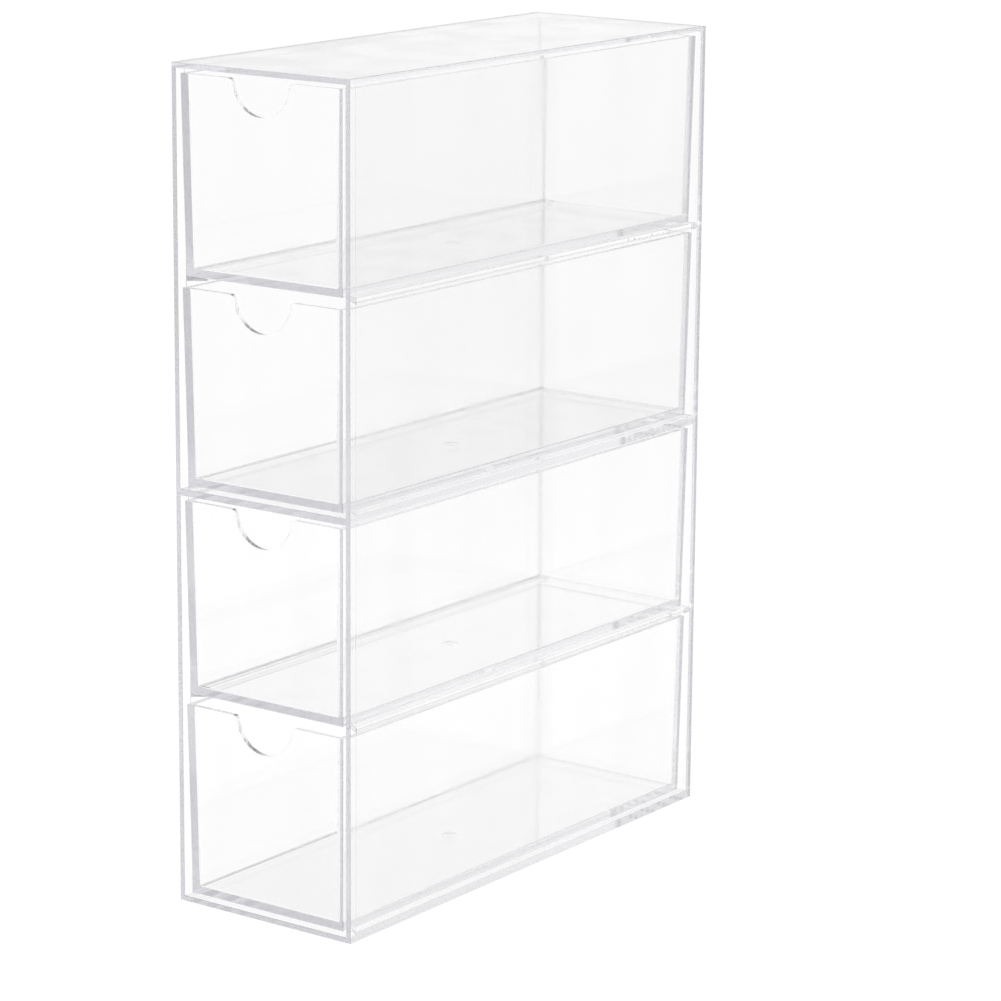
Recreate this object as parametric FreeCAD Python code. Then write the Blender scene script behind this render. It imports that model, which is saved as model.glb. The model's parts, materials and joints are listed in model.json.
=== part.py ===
import FreeCAD, Part
import math
import os

# A narrow tower of four clear acrylic drawers for make-up and jewellery.
# The casing is bonded from flat polished sheets. A shelf stiffens it at mid-height, and a pair of
# runners bonded to its sides carries each drawer, a moulded tray that slides out at the front.
# Millimetres. X is the width, the bays open towards -Y, and Z is up.
# The origin is the middle of the base.

# Casing
width = 63.5
depth = 175.0
height = 246.0
side_sheet = 1.6        # thickness of the side and back sheets
deck_sheet = 1.6        # thickness of the base and top sheets
shelf_sheet = 2.0       # thickness of the middle shelf
sheet_edge_round = 0.3  # polished round on the long edges that show at the front

# Runners
rail_width = 5.0        # how far a rail stands out from the side sheet that alone holds it
rail_height = 1.7
strip_width = 3.2       # a strip is a runner that lies on the base or the shelf
strip_height = 0.8
runner_setback = 3.5    # from the casing's front edges to the runner's front end
nose_angle = 45.0       # degrees between the runner's slanting front end and the side sheet

# Clearances of a drawer in its bay
side_gap = 1.2
top_gap = 1.35
running_gap = 0.2       # between a runner and the drawer on it
rear_gap = 1.0
front_recess = 0.35     # the drawer's front lies this far behind the casing's front edges

# Drawer
front_wall = 1.5
side_wall = 2.0
rear_wall = 2.0
drawer_floor = 2.0
draft_angle = 0.8       # degrees that each upright wall leans inwards towards the floor
outer_round = 0.4       # upright outer corners and the outer edges of the floor
inner_round = 0.8

# Finger notch, a half round in the top edge of the drawer's front
notch_radius = 10.2
notch_lip_radius = 1.5

# Moulding gate under the middle of the drawer's floor: a dimple with a short stub in it
gate_dimple_radius = 2.6
gate_dimple_depth = 0.5
gate_stub_radius = 0.9
gate_stub_length = 0.4

# Drawers from the bottom up: first the two under the shelf, then the two above it
drawer_pairs = [
    ["bottom_drawer", "third_drawer"],
    ["second_drawer", "top_drawer"],
]

bay_width = width - 2 * side_sheet
front_y = -depth / 2
back_y = depth / 2
shelf_z = (height - shelf_sheet) / 2
deck_tops = [deck_sheet, shelf_z + shelf_sheet]
runner_sizes = [(strip_width, strip_height), (rail_width, rail_height)]

half_height = shelf_z - deck_sheet
drawer_height = (half_height - strip_height - rail_height) / 2 - running_gap - top_gap
drawer_width = bay_width - 2 * side_gap
drawer_front_y = front_y + front_recess
drawer_back_y = back_y - side_sheet - rear_gap
draft_slope = math.tan(math.radians(draft_angle))


def vector(x, y, z):
    return FreeCAD.Vector(x, y, z)


def edges_where(shape, test):
    """The edges of a shape whose two ends both pass a test."""
    return [edge for edge in shape.Edges if all(test(end.Point) for end in edge.Vertexes)]


def long_front_edges(panel):
    """The two longest of the edges that lie in the front plane."""
    edges = edges_where(panel, lambda point: abs(point.y - front_y) < 1e-6)
    return sorted(edges, key=lambda edge: edge.Length)[-2:]


def level_panel(base_z, thickness):
    """A level sheet between the sides, from the front to the back sheet."""
    foot = vector(-bay_width / 2, front_y, base_z)
    panel = Part.makeBox(bay_width, depth - side_sheet, thickness, foot)
    return panel.makeFillet(sheet_edge_round, long_front_edges(panel))


def side_panel(low_x):
    """An upright side, over the casing's whole depth and height."""
    panel = Part.makeBox(side_sheet, depth, height, vector(low_x, front_y, 0))
    return panel.makeFillet(sheet_edge_round, long_front_edges(panel))


def back_panel():
    """The upright back, held between the two sides."""
    return Part.makeBox(bay_width, side_sheet, height, vector(-bay_width / 2, back_y - side_sheet, 0))


def runner(side, base_z, runner_width, runner_height):
    """A runner on the left side (-1) or the right side (1), whose front end slants back from the side."""
    wall_x = side * bay_width / 2
    inner_x = side * (bay_width / 2 - runner_width)
    start_y = front_y + runner_setback
    slant_y = start_y + runner_width / math.tan(math.radians(nose_angle))
    end_y = back_y - side_sheet
    plan = [(wall_x, start_y), (inner_x, slant_y), (inner_x, end_y), (wall_x, end_y), (wall_x, start_y)]
    outline = Part.Face(Part.makePolygon([vector(x, y, base_z) for x, y in plan]))
    return outline.extrude(vector(0, 0, runner_height))


def leaning_block(half_x, low_y, high_y, low_z, high_z):
    """A block of the given size at high_z whose four upright faces lean in towards low_z."""
    lean = (high_z - low_z) * draft_slope
    low = [(-half_x + lean, low_y + lean), (half_x - lean, low_y + lean),
           (half_x - lean, high_y - lean), (-half_x + lean, high_y - lean)]
    high = [(-half_x, low_y), (half_x, low_y), (half_x, high_y), (-half_x, high_y)]
    bottom = [vector(x, y, low_z) for x, y in low]
    top = [vector(x, y, high_z) for x, y in high]
    loops = [bottom[::-1], top]
    for i in range(4):
        j = (i + 1) % 4
        loops.append([bottom[i], bottom[j], top[j], top[i]])
    faces = [Part.Face(Part.makePolygon(loop + loop[:1])) for loop in loops]
    return Part.makeSolid(Part.makeShell(faces))


def tray_block(edge_round, half_x, low_y, high_y, low_z, high_z):
    """A leaning block with its upright corners and the edges of its underside rounded."""
    block = leaning_block(half_x, low_y, high_y, low_z, high_z)
    edges = [edge for edge in block.Edges if edge.CenterOfMass.z < high_z - 1e-6]
    return block.makeFillet(edge_round, edges)


def notch_cutter(top_z):
    """The finger notch: a half round whose two lips roll over into the top edge."""
    reach = notch_radius + notch_lip_radius
    lip_x = math.sqrt(reach ** 2 - notch_lip_radius ** 2)
    touch_x = notch_radius * lip_x / reach
    touch_z = top_z - notch_radius * notch_lip_radius / reach
    lip_angle = (math.asin(notch_lip_radius / reach) + math.pi / 2) / 2
    lip_mid_x = lip_x - notch_lip_radius * math.cos(lip_angle)
    lip_mid_z = top_z - notch_lip_radius + notch_lip_radius * math.sin(lip_angle)
    start_y = front_y - front_wall

    def point(x, z):
        return vector(x, start_y, z)

    above = top_z + notch_lip_radius
    edges = [
        Part.Arc(point(lip_x, top_z), point(lip_mid_x, lip_mid_z), point(touch_x, touch_z)).toShape(),
        Part.Arc(point(touch_x, touch_z), point(0, top_z - notch_radius), point(-touch_x, touch_z)).toShape(),
        Part.Arc(point(-touch_x, touch_z), point(-lip_mid_x, lip_mid_z), point(-lip_x, top_z)).toShape(),
        Part.makeLine(point(-lip_x, top_z), point(-lip_x, above)),
        Part.makeLine(point(-lip_x, above), point(lip_x, above)),
        Part.makeLine(point(lip_x, above), point(lip_x, top_z)),
    ]
    profile = Part.Face(Part.Wire(edges))
    return profile.extrude(vector(0, 3 * front_wall, 0))


def drawer_tray(base_z):
    """A moulded tray whose underside is at base_z."""
    top_z = base_z + drawer_height
    outer = tray_block(
        outer_round, drawer_width / 2, drawer_front_y, drawer_back_y, base_z, top_z)
    hollow = tray_block(
        inner_round, drawer_width / 2 - side_wall, drawer_front_y + front_wall,
        drawer_back_y - rear_wall, base_z + drawer_floor, top_z)
    middle_y = (drawer_front_y + drawer_back_y) / 2
    gate_foot = vector(0, middle_y, base_z)
    dimple = Part.makeCylinder(gate_dimple_radius, gate_dimple_depth, gate_foot)
    stub_foot = vector(0, middle_y, base_z + gate_dimple_depth - gate_stub_length)
    stub = Part.makeCylinder(gate_stub_radius, gate_stub_length, stub_foot)
    tray = outer.cut(hollow).cut(notch_cutter(top_z)).cut(dimple.cut(stub))
    return tray.removeSplitter()


os.makedirs("parts", exist_ok=True)

shapes = {
    "casing_base": level_panel(0, deck_sheet),
    "middle_shelf": level_panel(shelf_z, shelf_sheet),
    "casing_top": level_panel(height - deck_sheet, deck_sheet),
    "left_side": side_panel(-width / 2),
    "right_side": side_panel(width / 2 - side_sheet),
    "back_panel": back_panel(),
}

for deck_z, pair in zip(deck_tops, drawer_pairs):
    runner_z = deck_z
    for drawer, (runner_width, runner_height) in zip(pair, runner_sizes):
        shapes[drawer + "_left_runner"] = runner(-1, runner_z, runner_width, runner_height)
        shapes[drawer + "_right_runner"] = runner(1, runner_z, runner_width, runner_height)
        drawer_z = runner_z + runner_height + running_gap
        shapes[drawer] = drawer_tray(drawer_z)
        runner_z = drawer_z + drawer_height + top_gap

for name, shape in shapes.items():
    shape.exportStep(f"parts/{name}.step")
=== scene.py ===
import json
import math

import bmesh
import bpy
from bpy.props import FloatProperty, FloatVectorProperty, IntProperty, PointerProperty
from mathutils import Matrix, Vector


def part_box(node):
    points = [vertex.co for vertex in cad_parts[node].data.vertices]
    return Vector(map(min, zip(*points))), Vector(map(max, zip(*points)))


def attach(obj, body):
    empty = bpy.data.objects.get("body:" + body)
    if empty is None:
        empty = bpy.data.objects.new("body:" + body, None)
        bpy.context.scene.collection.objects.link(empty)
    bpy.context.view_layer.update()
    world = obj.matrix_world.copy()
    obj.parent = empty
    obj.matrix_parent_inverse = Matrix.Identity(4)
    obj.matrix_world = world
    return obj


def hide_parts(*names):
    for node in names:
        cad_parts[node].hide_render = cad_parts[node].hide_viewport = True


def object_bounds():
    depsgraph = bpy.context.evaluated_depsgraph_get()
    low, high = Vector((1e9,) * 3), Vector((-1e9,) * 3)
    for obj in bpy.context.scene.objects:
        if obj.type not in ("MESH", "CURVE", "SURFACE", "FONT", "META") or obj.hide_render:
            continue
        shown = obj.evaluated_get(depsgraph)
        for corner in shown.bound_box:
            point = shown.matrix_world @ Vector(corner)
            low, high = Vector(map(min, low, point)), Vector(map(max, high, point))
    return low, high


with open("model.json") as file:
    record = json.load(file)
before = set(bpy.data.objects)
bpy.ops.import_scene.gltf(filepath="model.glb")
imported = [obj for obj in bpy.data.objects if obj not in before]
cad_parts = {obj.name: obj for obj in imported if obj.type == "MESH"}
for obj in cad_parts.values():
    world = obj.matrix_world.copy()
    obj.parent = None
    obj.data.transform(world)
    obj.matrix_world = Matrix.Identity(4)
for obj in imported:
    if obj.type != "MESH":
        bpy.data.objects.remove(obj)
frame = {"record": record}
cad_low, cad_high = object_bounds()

bl_info = {
    "name": "Acrylic drawer tower",
    "version": (1, 0, 0),
    "blender": (4, 5, 0),
    "location": "View3D > Sidebar > Drawers",
    "description": "A narrow clear acrylic tower of four pull-out trays for make-up and jewellery",
    "category": "Object",
}

MM = 0.001

# The camera stands on a line through the tower's middle and slides across its own view.
CAMERA_AZIMUTH = math.radians(36.062)
CAMERA_ELEVATION = math.radians(13.224)
CAMERA_ROLL = math.radians(0.491)
CAMERA_DISTANCE = 1148.729 * MM
CAMERA_RIGHT = 15.587 * MM
CAMERA_UP = -13.887 * MM
CAMERA_LENS = 137.996
SENSOR_WIDTH = 36.0
CLIP_START = 10 * MM

TOWER_MIDDLE = Vector((0, 0, cad_high.z / 2))
LAMP_PLACE = Vector((-0.9, -1.1, 1.7))
FLOOR_GAP = 0.3 * MM     # keeps the paper and the base from fighting for one plane
EXTRA_BOUNCES = 50       # turns of all kinds together, over those of one kind

# How many wipe marks and tint clouds go on a metre of each plastic
CASING_WIPES, CASING_CLOUDS = 60.0, 12.0
TRAY_WIPES, TRAY_CLOUDS = 90.0, 16.0
WIPE_STRETCH = (1.0, 1.0, 0.25)     # wipe marks are four times as long as wide, upwards
WIPE_FROM, WIPE_TO = 0.40, 0.70     # noise value where wiping begins, and where it is complete
CLOUD_FROM, CLOUD_TO = 0.35, 0.65   # the same for the drift from the cool to the warm tint

# The painted end shade lies this near to the outer side face, and this far behind the rear wall's inner face.
CASING_SKIN, CASING_REAR = 0.3 * MM, 0.1 * MM
TRAY_SKIN, TRAY_REAR = 1.2 * MM, -0.3 * MM     # with room for the draft

# Stretches of bond that caught air: as distances from the rear end, and as places across the shelf's front
REAR_BUBBLES = (38 * MM, 12 * MM)
FRONT_BUBBLES = (15 * MM, 27 * MM)
FRONT_INSET = 1.1 * MM   # from the shelf's front edge to its bubbles
SMALLEST_BUBBLE = (0.25, 0.5, 0.25)   # half sizes along X, Y and Z, as shares of the radius
LARGEST_BUBBLE = (1.0, 1.6, 0.8)

HAIR = 0.001 * MM        # closer than this is the same place
CONVEX_ANGLE = math.radians(30)     # the casing's edges are rounded above this
RIM_ANGLE = math.radians(50)        # and a tray's above this
CUT_ABOVE = 3 * MM       # how far a cutter reaches past the rim
OUTER_STEPS, INNER_STEPS, RIM_STEPS = 6, 10, 3
LIP_STEPS, BOWL_STEPS, GATE_STEPS = 16, 96, 48

BODIES = frame["record"]["behaviour"]["bodies"]
CASING_NODES = BODIES["casing"]
DRAWERS = [body for body in BODIES if body != "casing"]
RUNNERS = [node for node in CASING_NODES if node.endswith("_runner")]


# ---------------------------------------------------------------- settings


def length(name, description, millimetres):
    """A length property whose default is written in millimetres."""
    return FloatProperty(
        name=name, description=description, default=millimetres * MM, min=0, unit="LENGTH", precision=5)


def colour(name, description, default):
    """A colour property."""
    return FloatVectorProperty(
        name=name, description=description, default=default, size=3, min=0, max=1, subtype="COLOR")


def factor(name, description, default):
    """A plain number from 0 up."""
    return FloatProperty(name=name, description=description, default=default, min=0, precision=4)


class CasingSettings(bpy.types.PropertyGroup):
    """Finish of the bonded casing."""

    edge_round: length("Edge round", "Flame-polished round on every outer edge of the sheets", 0.2)
    edge_steps: IntProperty(name="Edge steps", description="Facets across an edge round", default=4, min=1)
    side_step: length("Side step", "How much the sides thicken inwards from the runners' front ends on", 0.15)
    nose_angle: FloatProperty(
        name="Nose angle", description="Slant of a runner's front end against the side sheet",
        default=math.radians(55), subtype="ANGLE")


class BubbleSettings(bpy.types.PropertyGroup):
    """Small bubbles of air that the cement traps in a bond."""

    spacing: length("Spacing", "Mean distance between bubbles along a bond", 3.2)
    radius: length("Radius", "Radius that the bubbles' half sizes are shares of", 0.45)
    scatter: length("Scatter", "How far a bubble strays from the middle of the bond", 0.35)
    seed: IntProperty(name="Seed", description="Seed of the bubbles' sizes and places", default=7)


class DrawerSettings(bpy.types.PropertyGroup):
    """Shape of one moulded tray inside the size that the frame gives it."""

    front_wall: length("Front wall", "Thickness of the front", 1.5)
    side_wall: length("Side walls", "Thickness of the sides and the rear", 2.0)
    floor: length("Floor", "Thickness of the floor", 2.0)
    draft: FloatProperty(
        name="Draft", description="Lean of the upright walls", default=math.radians(0.8), subtype="ANGLE")
    outer_round: length("Outer round", "Round of the upright outer corners and of the floor's edges", 0.4)
    inner_round: length("Inner round", "Round of every inner corner", 0.8)
    rim_round: length("Rim round", "Soft edge round the rim and the notch", 0.5)
    notch_radius: length("Notch radius", "Half round that a fingertip goes into", 10.2)
    notch_lip: length("Notch lip", "Round where the notch rolls over into the rim", 1.5)
    gate_radius: length("Gate dimple", "Radius of the dimple under the moulding gate", 2.6)
    gate_depth: length("Gate depth", "Depth of that dimple", 0.5)
    stub_radius: length("Gate stub", "Radius of the stub left in the dimple", 0.9)
    stub_length: length("Stub length", "Length of that stub", 0.4)


class AcrylicSettings(bpy.types.PropertyGroup):
    """Clear acrylic, seen through a thin sheet and along its whole length."""

    depth_colour: colour(
        "Depth colour", "Colour that a long way through the sheet takes on", (0.80, 0.79, 0.84))
    depth_density: factor("Depth density", "How soon that colour builds up, per metre", 5.0)
    index: factor("Index", "Index of refraction", 1.49)
    cool_tint: colour("Cool tint", "Faint cool cloud in a face", (0.9995, 0.9993, 1.0))
    warm_tint: colour("Warm tint", "Faint warm cloud in a face", (1.0, 0.9995, 0.9995))
    clean_haze: factor("Clean haze", "Roughness where a face is well polished", 0.025)
    wiped_haze: factor("Wiped haze", "Roughness where a face has been wiped", 0.07)
    # Painted shade: a darker colour on the rear ends of the sides, seen through the side sheet.
    painted_end_shade: colour(
        "Painted end shade", "Colour of the end of a rear wall, seen through the side", (0.60, 0.59, 0.63))


class StageSettings(bpy.types.PropertyGroup):
    """Paper, light and camera."""

    paper_size: length("Paper", "Side of the square floor", 6000)
    backdrop_distance: length("Backdrop", "From the tower to the upright paper behind it", 1300)
    paper: colour("Paper colour", "Colour of the paper", (1.0, 1.0, 1.0))
    paper_glow: factor("Paper glow", "Brightness that no shadow takes away, where 1 is white", 0.985)
    paper_diffuse: factor("Paper diffuse", "How much of the light on it the paper scatters besides", 0.075)
    bright_to: length("Bright to", "How far to the right of the tower the floor stays fully lit", 120)
    dim_from: length("Dim from", "How far to the right of the tower the floor has dimmed", 900)
    high_bright: length("Bright height", "Height up to which the backdrop stays fully lit", 300)
    high_dim: length("Dim height", "Height where the backdrop has dimmed", 520)
    dim_level: factor("Dim level", "Light that the dimmed paper and the room still give in reflections", 0.80)
    sky_level: factor("Sky", "Light from all round on surfaces that scatter it", 0.8)
    lamp_power: FloatProperty(name="Lamp", description="Power of the soft lamp", default=2.0, unit="POWER")
    lamp_size: length("Lamp size", "Side of the square soft lamp", 1200)
    bounces: IntProperty(
        name="Bounces", description="Turns that light may take inside a sheet", default=200, min=1)


class OrganizerSettings(bpy.types.PropertyGroup):
    """All settings of the drawer tower."""

    casing: PointerProperty(type=CasingSettings)
    bubbles: PointerProperty(type=BubbleSettings)
    drawer: PointerProperty(type=DrawerSettings)
    acrylic: PointerProperty(type=AcrylicSettings)
    stage: PointerProperty(type=StageSettings)


# ---------------------------------------------------------------- node helpers


def add_node(tree, kind, values=None, links=None, **attributes):
    """A node with its plain attributes, its input values and its incoming links set."""
    node = tree.nodes.new(kind)
    for key, value in attributes.items():
        setattr(node, key, value)
    for socket, value in (values or {}).items():
        node.inputs[socket].default_value = value
    for socket, source in (links or {}).items():
        tree.links.new(source, node.inputs[socket])
    return node


def new_group(name, tree_type, inputs, outputs):
    """A node group with its sockets, its input node and its output node."""
    group = bpy.data.node_groups.new(name, tree_type)
    for socket_name, socket_type in inputs:
        group.interface.new_socket(socket_name, in_out="INPUT", socket_type=socket_type)
    for socket_name, socket_type in outputs:
        group.interface.new_socket(socket_name, in_out="OUTPUT", socket_type=socket_type)
    return group, group.nodes.new("NodeGroupInput"), group.nodes.new("NodeGroupOutput")


# ---------------------------------------------------------------- acrylic


def polish_group():
    """Roughness of a polished face: clean plastic with long soft wipe marks."""
    name = "Polish"
    if name in bpy.data.node_groups:
        return bpy.data.node_groups[name]
    group, source, sink = new_group(
        name, "ShaderNodeTree",
        [("Vector", "NodeSocketVector"), ("Clean", "NodeSocketFloat"), ("Wiped", "NodeSocketFloat"),
         ("Scale", "NodeSocketFloat")],
        [("Roughness", "NodeSocketFloat")])
    stretched = add_node(
        group, "ShaderNodeMapping", {"Scale": WIPE_STRETCH}, {"Vector": source.outputs["Vector"]})
    marks = add_node(
        group, "ShaderNodeTexNoise", {"Detail": 1.0},
        {"Vector": stretched.outputs["Vector"], "Scale": source.outputs["Scale"]})
    roughness = add_node(
        group, "ShaderNodeMapRange", {"From Min": WIPE_FROM, "From Max": WIPE_TO},
        {"Value": marks.outputs["Fac"], "To Min": source.outputs["Clean"], "To Max": source.outputs["Wiped"]})
    group.links.new(roughness.outputs["Result"], sink.inputs["Roughness"])
    return group


def cloud_group():
    """Slow drift between a cool and a warm tint, as thick clear plastic shows against white."""
    name = "Tint clouds"
    if name in bpy.data.node_groups:
        return bpy.data.node_groups[name]
    group, source, sink = new_group(
        name, "ShaderNodeTree",
        [("Vector", "NodeSocketVector"), ("Cool", "NodeSocketColor"), ("Warm", "NodeSocketColor"),
         ("Scale", "NodeSocketFloat")],
        [("Color", "NodeSocketColor")])
    clouds = add_node(
        group, "ShaderNodeTexNoise", {"Detail": 0.0},
        {"Vector": source.outputs["Vector"], "Scale": source.outputs["Scale"]})
    ramp = add_node(
        group, "ShaderNodeMapRange", {"From Min": CLOUD_FROM, "From Max": CLOUD_TO},
        {"Value": clouds.outputs["Fac"]})
    mix = add_node(
        group, "ShaderNodeMix", data_type="RGBA",
        links={"Factor": ramp.outputs["Result"], "A": source.outputs["Cool"], "B": source.outputs["Warm"]})
    group.links.new(mix.outputs["Result"], sink.inputs["Color"])
    return group


def painted_end_shade_group():
    """Painted shade: a darker colour where a rear wall meets the sides, from a place and its two thresholds.
    """
    name = "Wall ends"
    if name in bpy.data.node_groups:
        return bpy.data.node_groups[name]
    group, source, sink = new_group(
        name, "ShaderNodeTree",
        [("Vector", "NodeSocketVector"), ("Color", "NodeSocketColor"), ("Painted end shade", "NodeSocketColor"),
         ("Side from", "NodeSocketFloat"), ("Rear from", "NodeSocketFloat")],
        [("Color", "NodeSocketColor")])
    parts = add_node(group, "ShaderNodeSeparateXYZ", links={"Vector": source.outputs["Vector"]})
    across = add_node(group, "ShaderNodeMath", links={0: parts.outputs["X"]}, operation="ABSOLUTE")
    at_side = add_node(
        group, "ShaderNodeMath", operation="GREATER_THAN",
        links={0: across.outputs["Value"], 1: source.outputs["Side from"]})
    at_rear = add_node(
        group, "ShaderNodeMath", operation="GREATER_THAN",
        links={0: parts.outputs["Y"], 1: source.outputs["Rear from"]})
    # Where the painted shade goes: near the outer side face and behind the rear wall's inner face.
    painted_shade_mask = add_node(
        group, "ShaderNodeMath", operation="MULTIPLY",
        links={0: at_side.outputs["Value"], 1: at_rear.outputs["Value"]})
    mix = add_node(
        group, "ShaderNodeMix", data_type="RGBA",
        links={"Factor": painted_shade_mask.outputs["Value"], "A": source.outputs["Color"],
               "B": source.outputs["Painted end shade"]})
    group.links.new(mix.outputs["Result"], sink.inputs["Color"])
    return group


def acrylic(name, settings, wipe_scale, cloud_scale, side_from, rear_from):
    """Clear acrylic whose long light paths turn lavender grey, with painted shade where a rear wall meets the
    sides.
    """
    material = bpy.data.materials.new(name)
    material.use_nodes = True
    tree = material.node_tree
    shader = tree.nodes["Principled BSDF"]
    place = add_node(tree, "ShaderNodeTexCoord").outputs["Object"]
    polish = add_node(
        tree, "ShaderNodeGroup",
        {"Clean": settings.clean_haze, "Wiped": settings.wiped_haze, "Scale": wipe_scale},
        {"Vector": place}, node_tree=polish_group())
    clouds = add_node(
        tree, "ShaderNodeGroup",
        {"Cool": (*settings.cool_tint, 1), "Warm": (*settings.warm_tint, 1), "Scale": cloud_scale},
        {"Vector": place}, node_tree=cloud_group())
    # Painted shade on the rear ends of the sides, laid over the tint clouds.
    ends = add_node(
        tree, "ShaderNodeGroup",
        {"Painted end shade": (*settings.painted_end_shade, 1), "Side from": side_from, "Rear from": rear_from},
        {"Vector": place, "Color": clouds.outputs["Color"]}, node_tree=painted_end_shade_group())
    shader.inputs["IOR"].default_value = settings.index
    shader.inputs["Transmission Weight"].default_value = 1.0
    tree.links.new(ends.outputs["Color"], shader.inputs["Base Color"])
    tree.links.new(polish.outputs["Roughness"], shader.inputs["Roughness"])
    depth = add_node(
        tree, "ShaderNodeVolumeAbsorption",
        {"Color": (*settings.depth_colour, 1), "Density": settings.depth_density})
    tree.links.new(depth.outputs["Volume"], tree.nodes["Material Output"].inputs["Volume"])
    return material


# ---------------------------------------------------------------- mesh helpers


def object_from(name, shape):
    """A linked object that takes over a bmesh."""
    mesh = bpy.data.meshes.new(name)
    shape.to_mesh(mesh)
    shape.free()
    piece = bpy.data.objects.new(name, mesh)
    bpy.context.scene.collection.objects.link(piece)
    return piece


def applied(piece):
    """The piece with its modifiers turned into plain mesh."""
    graph = bpy.context.evaluated_depsgraph_get()
    mesh = bpy.data.meshes.new_from_object(piece.evaluated_get(graph))
    piece.modifiers.clear()
    old_mesh = piece.data
    piece.data = mesh
    bpy.data.meshes.remove(old_mesh)
    return piece


def round_edges(shape, edges, radius, steps):
    """Rounds some edges of a bmesh with a circular profile."""
    bmesh.ops.bevel(
        shape, geom=edges, offset=radius, segments=steps, profile=0.5, affect="EDGES", clamp_overlap=True)


def sorted_apart(values):
    """The different values in rising order."""
    kept = []
    for value in sorted(values):
        if not kept or value - kept[-1] > HAIR:
            kept.append(value)
    return kept


def bonded_solid(boxes):
    """One closed skin round boxes that touch, with no faces left inside."""
    marks = [sorted_apart([corner[axis] for box in boxes for corner in box]) for axis in range(3)]
    counts = [len(values) - 1 for values in marks]
    shape = bmesh.new()
    corners = {}

    def corner_at(key):
        if key not in corners:
            corners[key] = shape.verts.new([marks[axis][key[axis]] for axis in range(3)])
        return corners[key]

    def is_solid(cell):
        if any(not 0 <= cell[axis] < counts[axis] for axis in range(3)):
            return False
        middle = [(marks[axis][cell[axis]] + marks[axis][cell[axis] + 1]) / 2 for axis in range(3)]
        return any(all(low[a] < middle[a] < high[a] for a in range(3)) for low, high in boxes)

    for i in range(counts[0]):
        for j in range(counts[1]):
            for k in range(counts[2]):
                if not is_solid((i, j, k)):
                    continue
                for axis in range(3):
                    for side in (0, 1):
                        beyond = [i, j, k]
                        beyond[axis] += 1 if side else -1
                        if not is_solid(tuple(beyond)):
                            shape.faces.new(cell_face((i, j, k), axis, side, corner_at))
    bmesh.ops.recalc_face_normals(shape, faces=shape.faces)
    return shape


def cell_face(cell, axis, side, corner_at):
    """The four corners of one side of a grid cell, in order."""
    first, second = [other for other in range(3) if other != axis]
    loop = []
    for step_first, step_second in ((0, 0), (1, 0), (1, 1), (0, 1)):
        key = list(cell)
        key[axis] += side
        key[first] += step_first
        key[second] += step_second
        loop.append(corner_at(tuple(key)))
    return loop


def convex_edges(shape):
    """Edges where two faces meet at an outer corner."""
    shape.normal_update()
    return [edge for edge in shape.edges
            if len(edge.link_faces) == 2 and edge.calc_face_angle_signed() > CONVEX_ANGLE]


# ---------------------------------------------------------------- bubbles


def bubble_tree():
    """Geometry nodes that strew small flat cavities along the edges of a mesh."""
    group, source, sink = new_group(
        "Bond bubbles", "GeometryNodeTree",
        [("Geometry", "NodeSocketGeometry"), ("Spacing", "NodeSocketFloat"), ("Radius", "NodeSocketFloat"),
         ("Scatter", "NodeSocketFloat"), ("Seed", "NodeSocketInt"), ("Material", "NodeSocketMaterial")],
        [("Geometry", "NodeSocketGeometry")])
    bonds = add_node(group, "GeometryNodeMeshToCurve", links={"Mesh": source.outputs["Geometry"]})
    points = add_node(
        group, "GeometryNodeCurveToPoints", mode="LENGTH",
        links={"Curve": bonds.outputs["Curve"], "Length": source.outputs["Spacing"]})
    stray = add_node(
        group, "FunctionNodeRandomValue", {"Min": (-1.0, -1.0, -1.0), "Max": (1.0, 1.0, 1.0)},
        {"Seed": source.outputs["Seed"]}, data_type="FLOAT_VECTOR")
    offset = add_node(
        group, "ShaderNodeVectorMath", operation="SCALE",
        links={"Vector": stray.outputs["Value"], "Scale": source.outputs["Scatter"]})
    placed = add_node(
        group, "GeometryNodeSetPosition",
        links={"Geometry": points.outputs["Points"], "Offset": offset.outputs["Vector"]})
    bubble = add_node(group, "GeometryNodeMeshIcoSphere", {"Subdivisions": 2, "Radius": 1.0})
    size = add_node(
        group, "FunctionNodeRandomValue", {"Min": SMALLEST_BUBBLE, "Max": LARGEST_BUBBLE},
        {"Seed": source.outputs["Seed"]}, data_type="FLOAT_VECTOR")
    scale = add_node(
        group, "ShaderNodeVectorMath", operation="SCALE",
        links={"Vector": size.outputs["Value"], "Scale": source.outputs["Radius"]})
    strewn = add_node(
        group, "GeometryNodeInstanceOnPoints",
        links={"Points": placed.outputs["Geometry"], "Instance": bubble.outputs["Mesh"],
               "Scale": scale.outputs["Vector"]})
    real = add_node(group, "GeometryNodeRealizeInstances", links={"Geometry": strewn.outputs["Instances"]})
    hollow = add_node(group, "GeometryNodeFlipFaces", links={"Mesh": real.outputs["Geometry"]})
    finished = add_node(
        group, "GeometryNodeSetMaterial",
        links={"Geometry": hollow.outputs["Mesh"], "Material": source.outputs["Material"]})
    group.links.new(finished.outputs["Geometry"], sink.inputs["Geometry"])
    return group


def bond_lines():
    """Stretches of bond that caught air: the shelf's front, and the rear of each level on the right."""
    wall_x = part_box("right_side")[0].x
    shelf_low, shelf_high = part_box("middle_shelf")
    shelf_z = (shelf_low.z + shelf_high.z) / 2
    lines = [[Vector((x, shelf_low.y + FRONT_INSET, shelf_z)) for x in FRONT_BUBBLES]]
    for node in ("top_drawer_right_runner", "third_drawer_right_runner", "middle_shelf"):
        low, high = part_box(node)
        z = (low.z + high.z) / 2
        lines.append([Vector((wall_x, high.y - back, z)) for back in REAR_BUBBLES])
    return lines


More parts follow.
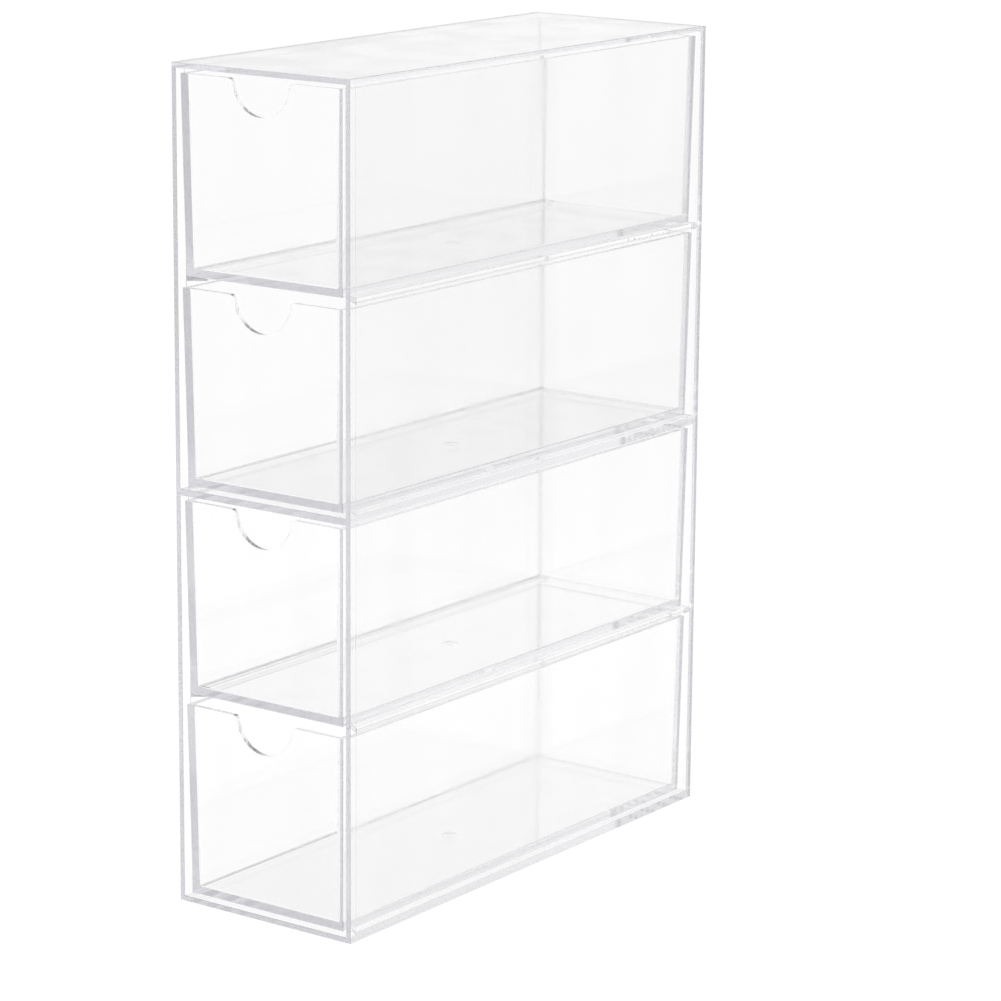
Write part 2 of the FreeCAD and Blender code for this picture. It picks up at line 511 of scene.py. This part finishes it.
def bubble_cavities(settings, material):
    """A plain mesh of the cavities in every bond that caught air."""
    guide = bmesh.new()
    for start, end in bond_lines():
        guide.edges.new((guide.verts.new(start), guide.verts.new(end)))
    piece = object_from("bond_bubbles", guide)
    modifier = piece.modifiers.new("Bubbles", "NODES")
    modifier.node_group = bubble_tree()
    values = {
        "Spacing": settings.spacing, "Radius": settings.radius, "Scatter": settings.scatter,
        "Seed": settings.seed, "Material": material,
    }
    for item in modifier.node_group.interface.items_tree:
        if item.name in values and item.in_out == "INPUT":
            modifier[item.identifier] = values[item.name]
    return applied(piece)


# ---------------------------------------------------------------- casing


def side_linings(settings):
    """Thin boxes that thicken each side between the decks, from the runners' front ends to the back."""
    levels = [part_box(node) for node in ("casing_base", "middle_shelf", "casing_top")]
    start_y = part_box(RUNNERS[0])[0].y
    end_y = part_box("back_panel")[0].y
    boxes = []
    for side in (-1, 1):
        wall_x = side * levels[0][1].x
        xs = sorted((wall_x, wall_x - side * settings.side_step))
        for below, above in zip(levels, levels[1:]):
            boxes.append((Vector((xs[0], start_y, below[1].z)), Vector((xs[1], end_y, above[0].z))))
    return boxes


def slant_noses(shape, settings):
    """Moves the front end of each runner back the more, the further it stands out from the side."""
    for node in RUNNERS:
        low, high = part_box(node)
        side = 1 if low.x > 0 else -1
        wall_x = max(abs(low.x), abs(high.x)) - settings.side_step
        inner_x = min(abs(low.x), abs(high.x))
        for vert in shape.verts:
            x, y, z = vert.co
            on_front = abs(y - low.y) < HAIR and low.z - HAIR < z < high.z + HAIR
            if on_front and inner_x - HAIR < side * x < wall_x:
                vert.co.y += (wall_x - side * x) / math.tan(settings.nose_angle)


def casing_shape(settings):
    """The bonded sheets, shelf and runners as one closed skin with polished edges."""
    shape = bonded_solid([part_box(node) for node in CASING_NODES] + side_linings(settings))
    slant_noses(shape, settings)
    round_edges(shape, convex_edges(shape), settings.edge_round, settings.edge_steps)
    return shape


# ---------------------------------------------------------------- drawers


def leaning_block(half_x, low_y, high_y, low_z, high_z, slope):
    """A block of the given size at high_z whose upright faces lean in towards low_z."""
    lean = (high_z - low_z) * slope
    shape = bmesh.new()

    def ring(inset, z):
        corners = [(-half_x + inset, low_y + inset), (half_x - inset, low_y + inset),
                   (half_x - inset, high_y - inset), (-half_x + inset, high_y - inset)]
        return [shape.verts.new((x, y, z)) for x, y in corners]

    low_ring = ring(lean, low_z)
    high_ring = ring(0, high_z)
    shape.faces.new(low_ring[::-1])
    shape.faces.new(high_ring)
    for i in range(4):
        j = (i + 1) % 4
        shape.faces.new((low_ring[i], low_ring[j], high_ring[j], high_ring[i]))
    return shape


def edges_between(shape, low_z, high_z):
    """Edges whose middle lies between two heights."""
    return [edge for edge in shape.edges if low_z < (edge.verts[0].co.z + edge.verts[1].co.z) / 2 < high_z]


def outer_block(low, high, settings, slope):
    """The tray's outside, with its upright corners and the edges of its underside rounded."""
    shape = leaning_block(high.x, low.y, high.y, low.z, high.z, slope)
    shape.normal_update()
    round_edges(shape, edges_between(shape, low.z - MM, high.z - HAIR), settings.outer_round, OUTER_STEPS)
    return shape


def hollow_block(low, high, settings, slope):
    """The tray's inside, carried on a little above the rim so that it cuts cleanly."""
    wider = CUT_ABOVE * slope
    shape = leaning_block(
        high.x - settings.side_wall + wider,
        low.y + settings.front_wall - wider, high.y - settings.side_wall + wider,
        low.z + settings.floor, high.z + CUT_ABOVE, slope)
    shape.normal_update()
    round_edges(shape, edges_between(shape, 0, high.z + CUT_ABOVE - HAIR), settings.inner_round, INNER_STEPS)
    return shape


def arc(centre_x, centre_z, radius, start, end, steps):
    """Points of an arc in the plane of the drawer's front, from one angle to another."""
    angles = [start + (end - start) * step / steps for step in range(steps + 1)]
    return [(centre_x + radius * math.cos(angle), centre_z + radius * math.sin(angle)) for angle in angles]


def notch_outline(top_z, settings):
    """The finger notch: a half round whose two lips roll over into the rim."""
    radius, lip = settings.notch_radius, settings.notch_lip
    reach = radius + lip
    lip_x = math.sqrt(reach ** 2 - lip ** 2)
    touch = math.asin(lip / reach)
    right_lip = arc(lip_x, top_z - lip, lip, math.pi / 2, math.pi + touch, LIP_STEPS)
    bowl = arc(0, top_z, radius, -touch, touch - math.pi, BOWL_STEPS)
    left_lip = [(-x, z) for x, z in reversed(right_lip)]
    above = top_z + 2 * lip
    return right_lip + bowl[1:-1] + left_lip + [(-lip_x, above), (lip_x, above)]


def extruded(outline, low_y, high_y):
    """A closed prism from an outline in the front's plane."""
    shape = bmesh.new()
    near = [shape.verts.new((x, low_y, z)) for x, z in outline]
    far = [shape.verts.new((x, high_y, z)) for x, z in outline]
    shape.faces.new(near)
    shape.faces.new(far[::-1])
    for i in range(len(outline)):
        j = (i + 1) % len(outline)
        shape.faces.new((near[j], near[i], far[i], far[j]))
    bmesh.ops.recalc_face_normals(shape, faces=shape.faces)
    return shape


def gate_cutter(low, middle_y, settings):
    """The dimple under the gate, turned round its stub."""
    top = low.z + settings.gate_depth
    stub_foot = top - settings.stub_length
    below = low.z - settings.gate_depth
    profile = [(0, below), (settings.gate_radius, below), (settings.gate_radius, top),
               (settings.stub_radius, top), (settings.stub_radius, stub_foot), (0, stub_foot)]
    shape = bmesh.new()
    points = [shape.verts.new((x, middle_y, z)) for x, z in profile]
    edges = [shape.edges.new(pair) for pair in zip(points, points[1:])]
    bmesh.ops.spin(
        shape, geom=points + edges, cent=(0, middle_y, 0), axis=(0, 0, 1), angle=math.tau, steps=GATE_STEPS,
        use_merge=True)
    bmesh.ops.remove_doubles(shape, verts=shape.verts, dist=HAIR)
    bmesh.ops.recalc_face_normals(shape, faces=shape.faces)
    return shape


def tray(node, settings):
    """One moulded tray as large as its node."""
    low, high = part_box(node)
    slope = math.tan(settings.draft)
    piece = object_from(node + "_tray", outer_block(low, high, settings, slope))
    middle_y = (low.y + high.y) / 2
    cutters = [
        object_from("hollow", hollow_block(low, high, settings, slope)),
        object_from("notch", extruded(
            notch_outline(high.z, settings), low.y - settings.front_wall, low.y + 2 * settings.front_wall)),
        object_from("gate", gate_cutter(low, middle_y, settings)),
    ]
    for cutter in cutters:
        cut = piece.modifiers.new(cutter.name, "BOOLEAN")
        cut.operation = "DIFFERENCE"
        cut.solver = "EXACT"
        cut.object = cutter
    soften = piece.modifiers.new("Rim", "BEVEL")
    soften.limit_method = "ANGLE"
    soften.angle_limit = RIM_ANGLE
    soften.width = settings.rim_round
    soften.segments = RIM_STEPS
    applied(piece)
    for cutter in cutters:
        bpy.data.objects.remove(cutter)
    return piece


# ---------------------------------------------------------------- checks and finish


def require_closed(piece):
    """Stops the script if a piece of clear plastic isn't one closed skin."""
    shape = bmesh.new()
    shape.from_mesh(piece.data)
    open_edges = sum(1 for edge in shape.edges if not edge.is_manifold)
    volume = shape.calc_volume(signed=True)
    shape.free()
    if open_edges or volume <= 0:
        raise RuntimeError(f"{piece.name}: {open_edges} open edges, volume {volume:.3e}")


def dress(piece, material, body, nodes):
    """Checks that a finished piece is closed, gives it its material and its body, and hides the nodes that it
    stands for.
    """
    require_closed(piece)
    piece.data.materials.clear()
    piece.data.materials.append(material)
    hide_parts(*nodes)
    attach(piece, body)


# ---------------------------------------------------------------- stage


def seen_directly(tree):
    """1 for rays from the camera, off gloss or through glass, and 0 for light that a surface scatters."""
    path = add_node(tree, "ShaderNodeLightPath")
    first = add_node(
        tree, "ShaderNodeMath", operation="MAXIMUM",
        links={0: path.outputs["Is Camera Ray"], 1: path.outputs["Is Glossy Ray"]})
    return add_node(
        tree, "ShaderNodeMath", operation="MAXIMUM",
        links={0: first.outputs["Value"], 1: path.outputs["Is Transmission Ray"]}).outputs["Value"]


def falloff(tree, axis, bright, dim, level):
    """1 up to one distance along an axis of the object, and a lower level from another on."""
    place = add_node(tree, "ShaderNodeTexCoord").outputs["Object"]
    parts = add_node(tree, "ShaderNodeSeparateXYZ", links={"Vector": place})
    return add_node(
        tree, "ShaderNodeMapRange", {"From Min": bright, "From Max": dim, "To Min": 1.0, "To Max": level},
        {"Value": parts.outputs[axis]}, interpolation_type="SMOOTHSTEP").outputs["Result"]


def paper_material(name, settings, axis, bright, dim):
    """White paper, dimmer in reflections away from the tower, with a small part that shadows darken."""
    material = bpy.data.materials.new(name)
    material.use_nodes = True
    tree = material.node_tree
    tree.nodes.clear()
    paper = (*settings.paper, 1)
    shaded = [channel * settings.paper_diffuse for channel in settings.paper]
    matt = add_node(tree, "ShaderNodeBsdfDiffuse", {"Color": (*shaded, 1)})
    path = add_node(tree, "ShaderNodeLightPath")
    lit = add_node(
        tree, "ShaderNodeMath", operation="MAXIMUM",
        links={0: falloff(tree, axis, bright, dim, settings.dim_level), 1: path.outputs["Is Camera Ray"]})
    seen = add_node(
        tree, "ShaderNodeMath", operation="MULTIPLY", links={0: lit.outputs["Value"], 1: seen_directly(tree)})
    glow_level = add_node(
        tree, "ShaderNodeMath", {1: settings.paper_glow}, {0: seen.outputs["Value"]}, operation="MULTIPLY")
    glow = add_node(
        tree, "ShaderNodeEmission", {"Color": paper}, {"Strength": glow_level.outputs["Value"]})
    both = add_node(tree, "ShaderNodeAddShader", links={0: matt.outputs["BSDF"], 1: glow.outputs["Emission"]})
    add_node(tree, "ShaderNodeOutputMaterial", links={"Surface": both.outputs["Shader"]})
    return material


def white_room(settings):
    """White to the camera, a little dimmer in reflections, and plain light on surfaces that scatter it."""
    world = bpy.data.worlds.new("white_room")
    bpy.context.scene.world = world
    world.use_nodes = True
    tree = world.node_tree
    tree.nodes.clear()
    paper = (*settings.paper, 1)
    scattered = add_node(tree, "ShaderNodeBackground", {"Color": paper, "Strength": settings.sky_level})
    reflected = add_node(tree, "ShaderNodeBackground", {"Color": paper, "Strength": settings.dim_level})
    direct = add_node(tree, "ShaderNodeBackground", {"Color": paper, "Strength": 1.0})
    room = add_node(
        tree, "ShaderNodeMixShader",
        links={0: seen_directly(tree), 1: scattered.outputs["Background"],
               2: reflected.outputs["Background"]})
    path = add_node(tree, "ShaderNodeLightPath")
    shown = add_node(
        tree, "ShaderNodeMixShader",
        links={0: path.outputs["Is Camera Ray"], 1: room.outputs["Shader"], 2: direct.outputs["Background"]})
    add_node(tree, "ShaderNodeOutputWorld", links={"Surface": shown.outputs["Shader"]})


def paper_sheets(settings):
    """The paper that the tower stands on and the paper behind it, both square to the camera."""
    turn = Matrix.Rotation(CAMERA_AZIMUTH, 4, "Z")
    size = settings.paper_size
    shape = bmesh.new()
    bmesh.ops.create_grid(shape, x_segments=1, y_segments=1, size=size / 2)
    floor = object_from("paper_floor", shape)
    floor.matrix_world = Matrix.Translation((0, 0, cad_low.z - FLOOR_GAP)) @ turn
    floor.data.materials.append(
        paper_material("paper_floor", settings, "X", settings.bright_to, settings.dim_from))
    shape = bmesh.new()
    corners = [(-size / 2, 0), (size / 2, 0), (size / 2, size / 2), (-size / 2, size / 2)]
    shape.faces.new([shape.verts.new((x, settings.backdrop_distance, z - FLOOR_GAP)) for x, z in corners])
    backdrop = object_from("paper_backdrop", shape)
    backdrop.matrix_world = turn
    backdrop.data.materials.append(
        paper_material("paper_backdrop", settings, "Z", settings.high_bright, settings.high_dim))


def soft_lamp(settings):
    """One large soft lamp, high on the left of the front."""
    lamp = bpy.data.lights.new("soft_lamp", "AREA")
    lamp.shape = "SQUARE"
    lamp.size = settings.lamp_size
    lamp.energy = settings.lamp_power
    holder = bpy.data.objects.new("soft_lamp", lamp)
    bpy.context.scene.collection.objects.link(holder)
    holder.location = LAMP_PLACE
    aim = TOWER_MIDDLE - LAMP_PLACE
    holder.rotation_euler = aim.to_track_quat("-Z", "Y").to_euler()


def camera():
    """The camera, a little above the front right corner."""
    across, along = math.sin(CAMERA_AZIMUTH), math.cos(CAMERA_AZIMUTH)
    level = math.cos(CAMERA_ELEVATION)
    back = Vector((across * level, -along * level, math.sin(CAMERA_ELEVATION)))
    level_right = Vector((along, across, 0))
    level_up = back.cross(level_right)
    right = math.cos(CAMERA_ROLL) * level_right + math.sin(CAMERA_ROLL) * level_up
    up = math.cos(CAMERA_ROLL) * level_up - math.sin(CAMERA_ROLL) * level_right
    place = TOWER_MIDDLE + CAMERA_RIGHT * right + CAMERA_UP * up + CAMERA_DISTANCE * back
    data = bpy.data.cameras.new("camera")
    data.sensor_width = SENSOR_WIDTH
    data.lens = CAMERA_LENS
    data.clip_start = CLIP_START
    holder = bpy.data.objects.new("camera", data)
    bpy.context.scene.collection.objects.link(holder)
    holder.matrix_world = Matrix.Translation(place) @ Matrix((right, up, back)).transposed().to_4x4()
    bpy.context.scene.camera = holder


# ---------------------------------------------------------------- operators


class ORGANIZER_OT_casing(bpy.types.Operator):
    """Build the bonded casing with its shelf, its runners and the bubbles in its bonds"""

    bl_idname = "organizer.casing"
    bl_label = "Bonded casing"

    def execute(self, context):
        settings = context.scene.organizer
        # The last two numbers place the painted shade at the rear wall ends.
        material = acrylic(
            "casing_acrylic", settings.acrylic, CASING_WIPES, CASING_CLOUDS,
            cad_high.x - CASING_SKIN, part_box("back_panel")[0].y + CASING_REAR)
        shape = casing_shape(settings.casing)
        bubbles = bubble_cavities(settings.bubbles, material)
        shape.from_mesh(bubbles.data)
        bpy.data.objects.remove(bubbles)
        dress(object_from("bonded_casing", shape), material, "casing", CASING_NODES)
        return {"FINISHED"}


class ORGANIZER_OT_drawers(bpy.types.Operator):
    """Build the four moulded trays"""

    bl_idname = "organizer.drawers"
    bl_label = "Moulded trays"

    def execute(self, context):
        settings = context.scene.organizer
        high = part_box(BODIES[DRAWERS[0]][0])[1]
        # The last two numbers place the painted shade at the rear wall ends.
        material = acrylic(
            "drawer_acrylic", settings.acrylic, TRAY_WIPES, TRAY_CLOUDS,
            high.x - TRAY_SKIN, high.y - settings.drawer.side_wall + TRAY_REAR)
        for body in DRAWERS:
            for node in BODIES[body]:
                dress(tray(node, settings.drawer), material, body, [node])
        return {"FINISHED"}


class ORGANIZER_OT_stage(bpy.types.Operator):
    """Set up the white floor, the soft light and the camera"""

    bl_idname = "organizer.stage"
    bl_label = "Stage"

    def execute(self, context):
        settings = context.scene.organizer.stage
        paper_sheets(settings)
        white_room(settings)
        soft_lamp(settings)
        camera()
        scene = context.scene
        scene.view_settings.view_transform = "Standard"
        scene.cycles.transmission_bounces = settings.bounces
        scene.cycles.glossy_bounces = settings.bounces
        scene.cycles.max_bounces = settings.bounces + EXTRA_BOUNCES
        return {"FINISHED"}


class ORGANIZER_PT_sidebar(bpy.types.Panel):
    """The tower's operators and settings"""

    bl_idname = "ORGANIZER_PT_sidebar"
    bl_label = "Acrylic drawer tower"
    bl_space_type = "VIEW_3D"
    bl_region_type = "UI"
    bl_category = "Drawers"

    def draw(self, context):
        for operator in OPERATORS:
            self.layout.operator(operator.bl_idname)
        settings = context.scene.organizer
        for group in (settings.casing, settings.bubbles, settings.drawer, settings.acrylic, settings.stage):
            column = self.layout.column(align=True)
            for name in group.__annotations__:
                column.prop(group, name)


OPERATORS = (ORGANIZER_OT_casing, ORGANIZER_OT_drawers, ORGANIZER_OT_stage)
SETTINGS = (CasingSettings, BubbleSettings, DrawerSettings, AcrylicSettings, StageSettings, OrganizerSettings)
CLASSES = SETTINGS + OPERATORS + (ORGANIZER_PT_sidebar,)


def register():
    """Register every class and the settings."""
    for item in CLASSES:
        bpy.utils.register_class(item)
    bpy.types.Scene.organizer = PointerProperty(type=OrganizerSettings)


def unregister():
    """Take the settings and every class away again."""
    del bpy.types.Scene.organizer
    for item in reversed(CLASSES):
        bpy.utils.unregister_class(item)


def main():
    """Build everything in order."""
    register()
    bpy.ops.organizer.casing()
    bpy.ops.organizer.drawers()
    bpy.ops.organizer.stage()


if __name__ == "__main__":
    main()
